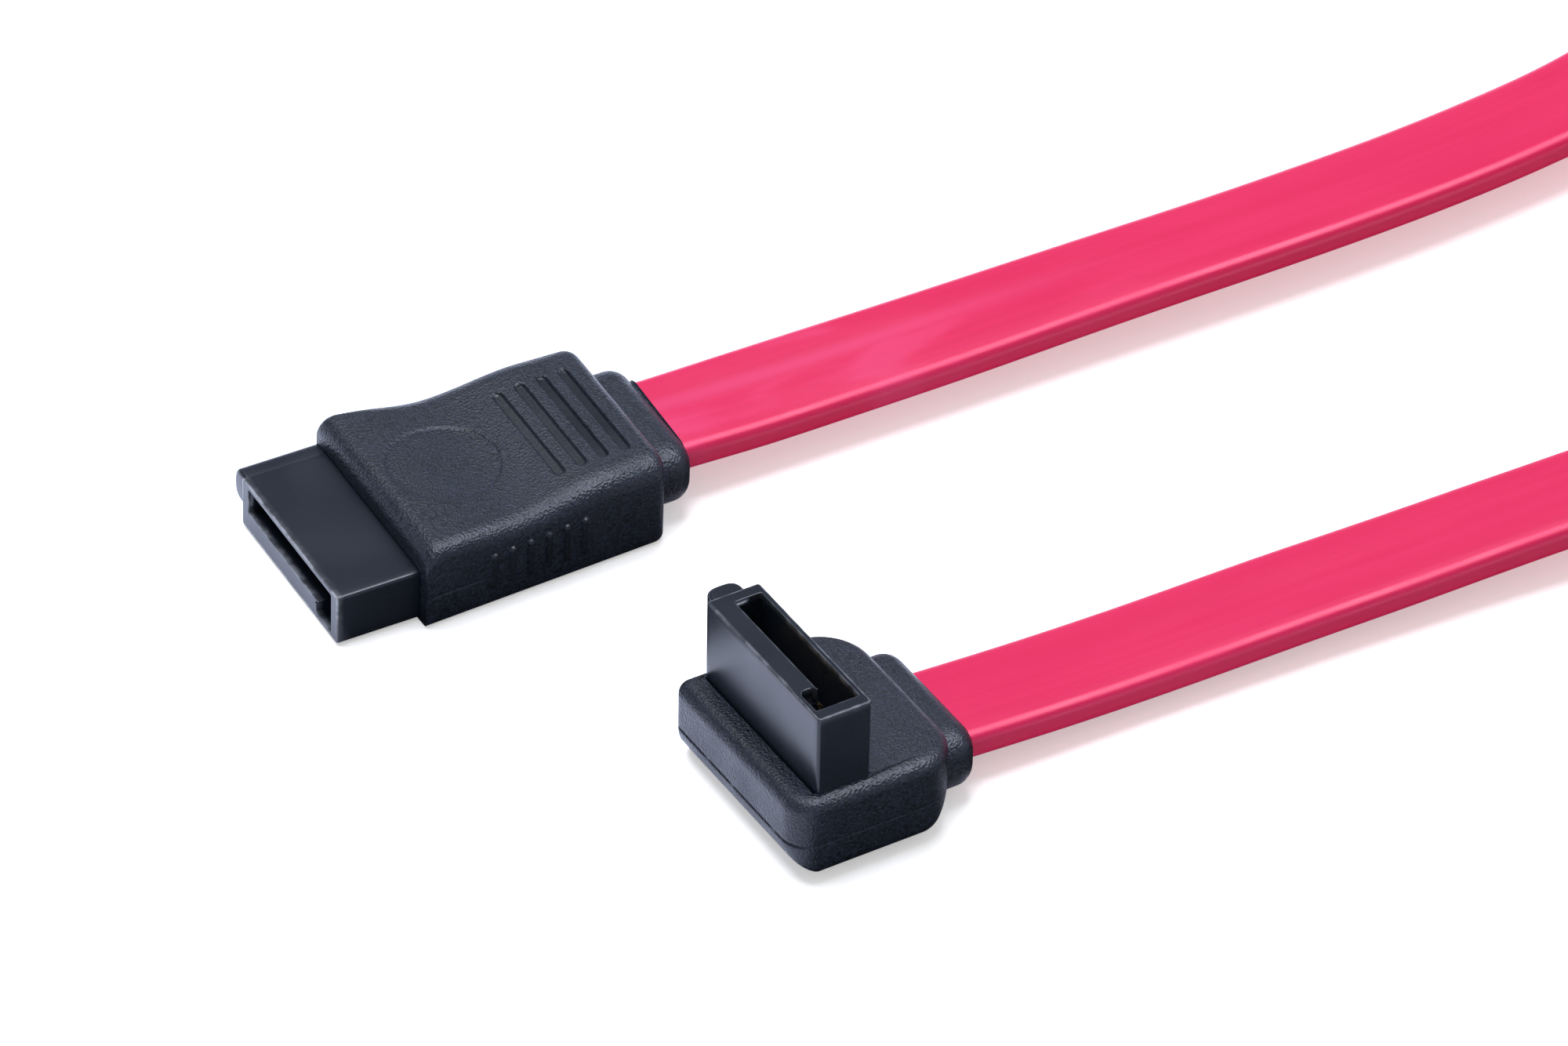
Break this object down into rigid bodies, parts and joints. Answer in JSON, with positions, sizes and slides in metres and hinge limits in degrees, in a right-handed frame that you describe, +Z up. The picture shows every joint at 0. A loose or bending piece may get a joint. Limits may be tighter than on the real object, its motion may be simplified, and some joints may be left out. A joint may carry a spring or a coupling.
{
  "type": "sata data cable",
  "caption": "Flat red data cable with a straight plug at one end and a right-angled plug at the other, both with an L-keyed mouth and spring contacts.",
  "frame": {"origin": "on the surface that the cable lies on, under the middle of the box round the two plugs", "axes": "+X from the plugs along the ribbon, +Y from the right-angled plug towards the straight one, +Z up"},
  "size_m": [0.1745, 0.0564, 0.0183],
  "materials": {
    "nose_plastic": "smooth satin black moulded plastic",
    "grip_plastic": "spark-eroded matt black moulded plastic",
    "contact_metal": "gold-plated spring strip",
    "ribbon_jacket": "smooth soft red jacket with a low sheen",
    "tie_strap": "black hook-and-loop strap"
  },
  "bodies": {
    "root": {"straight_nose": "nose_plastic", "straight_contact_1": "contact_metal", "straight_contact_2": "contact_metal", "straight_contact_3": "contact_metal", "straight_contact_4": "contact_metal", "straight_contact_5": "contact_metal", "straight_contact_6": "contact_metal", "straight_contact_7": "contact_metal", "straight_overmould": "grip_plastic", "angled_nose": "nose_plastic", "angled_contact_1": "contact_metal", "angled_contact_2": "contact_metal", "angled_contact_3": "contact_metal", "angled_contact_4": "contact_metal", "angled_contact_5": "contact_metal", "angled_contact_6": "contact_metal", "angled_contact_7": "contact_metal", "angled_overmould": "grip_plastic", "ribbon_straight_side": "ribbon_jacket", "ribbon_angled_side": "ribbon_jacket", "ribbon_coil": "ribbon_jacket", "coil_tie": "tie_strap"}
  },
  "joints": []
}
